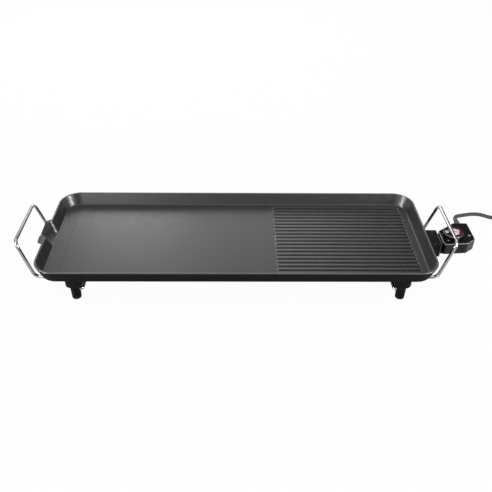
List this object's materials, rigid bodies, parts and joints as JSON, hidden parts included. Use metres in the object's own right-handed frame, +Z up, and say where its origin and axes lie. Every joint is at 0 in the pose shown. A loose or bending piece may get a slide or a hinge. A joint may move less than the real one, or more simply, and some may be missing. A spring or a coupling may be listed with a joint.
{
  "type": "electric griddle",
  "caption": "Long shallow electric griddle with a flat zone, a ribbed zone and a pouring spout, on feet, with wire handles and a pull-out thermostat plug on a mains cord.",
  "frame": {"origin": "middle of the griddle from the left handle to the control plug, on the table under its feet; the cord lies outside", "axes": "+X along the plate from the spout to the control plug, +Y to the back, +Z up from the table"},
  "size_m": [0.9997, 0.265, 0.0888],
  "materials": {
    "plate_coating": "cast aluminium under a dark grey satin non-stick coating",
    "steel": "plain bright steel",
    "brass": "bright brass",
    "chrome_wire": "polished chrome plate",
    "black_plastic": "moulded black, satin",
    "gloss_black_plastic": "moulded black, glossy",
    "black_rubber": "matt black rubber",
    "ceramic": "unglazed white ceramic",
    "lens": "clear moulded window",
    "lamp_glass": "small glass neon lamp"
  },
  "bodies": {
    "griddle": {"grill_plate": "plate_coating", "heating_element": "steel", "element_seals": "ceramic", "terminal_pins": "brass", "earth_pin": "brass", "socket_shroud": "black_plastic", "shroud_screws": "steel", "foot_front_left": "black_plastic", "foot_front_right": "black_plastic", "foot_back_left": "black_plastic", "foot_back_right": "black_plastic", "foot_pad_front_left": "black_rubber", "foot_pad_front_right": "black_rubber", "foot_pad_back_left": "black_rubber", "foot_pad_back_right": "black_rubber", "foot_screws": "steel", "handle_left": "chrome_wire", "handle_right": "chrome_wire"},
    "control_plug": {"control_lower_case": "gloss_black_plastic", "control_upper_case": "gloss_black_plastic", "case_screws": "steel", "contact_sleeves": "brass", "earth_sleeve": "brass", "temperature_probe": "steel", "thermostat_frame": "steel", "spindle_bush": "brass", "contact_insulators": "ceramic", "contact_leaf_lower": "brass", "contact_leaf_upper": "brass", "pilot_lens": "lens", "pilot_lamp": "lamp_glass", "cord_boot": "black_rubber", "cord_lead": "black_rubber", "cord_coil": "black_rubber", "cord_tail": "black_rubber", "cord_tie": "black_rubber", "plug_boot": "black_rubber", "plug_body": "black_plastic", "plug_pins": "brass", "plug_earth_clips": "brass"},
    "dial": {"dial_knob": "gloss_black_plastic"},
    "spindle": {"dial_spindle": "steel"}
  },
  "joints": [
    {"name": "control_pull", "type": "slide", "parent": "griddle", "child": "control_plug", "axis": [1, 0, 0], "range_m": [0, 0.09]},
    {"name": "dial_turn", "type": "hinge", "parent": "control_plug", "child": "dial", "pos_m": [0.3452, -0.003, 0.0639], "axis": [0, 0, -1], "range_deg": [0, 270]},
    {"name": "spindle_feed", "type": "slide", "parent": "dial", "child": "spindle", "axis": [0, 0, -1], "range_m": [0, 0.0009]}
  ],
  "couplings": [
    {"joint": "spindle_feed", "follows": "dial_turn", "m_per_rad": 0.00019}
  ]
}
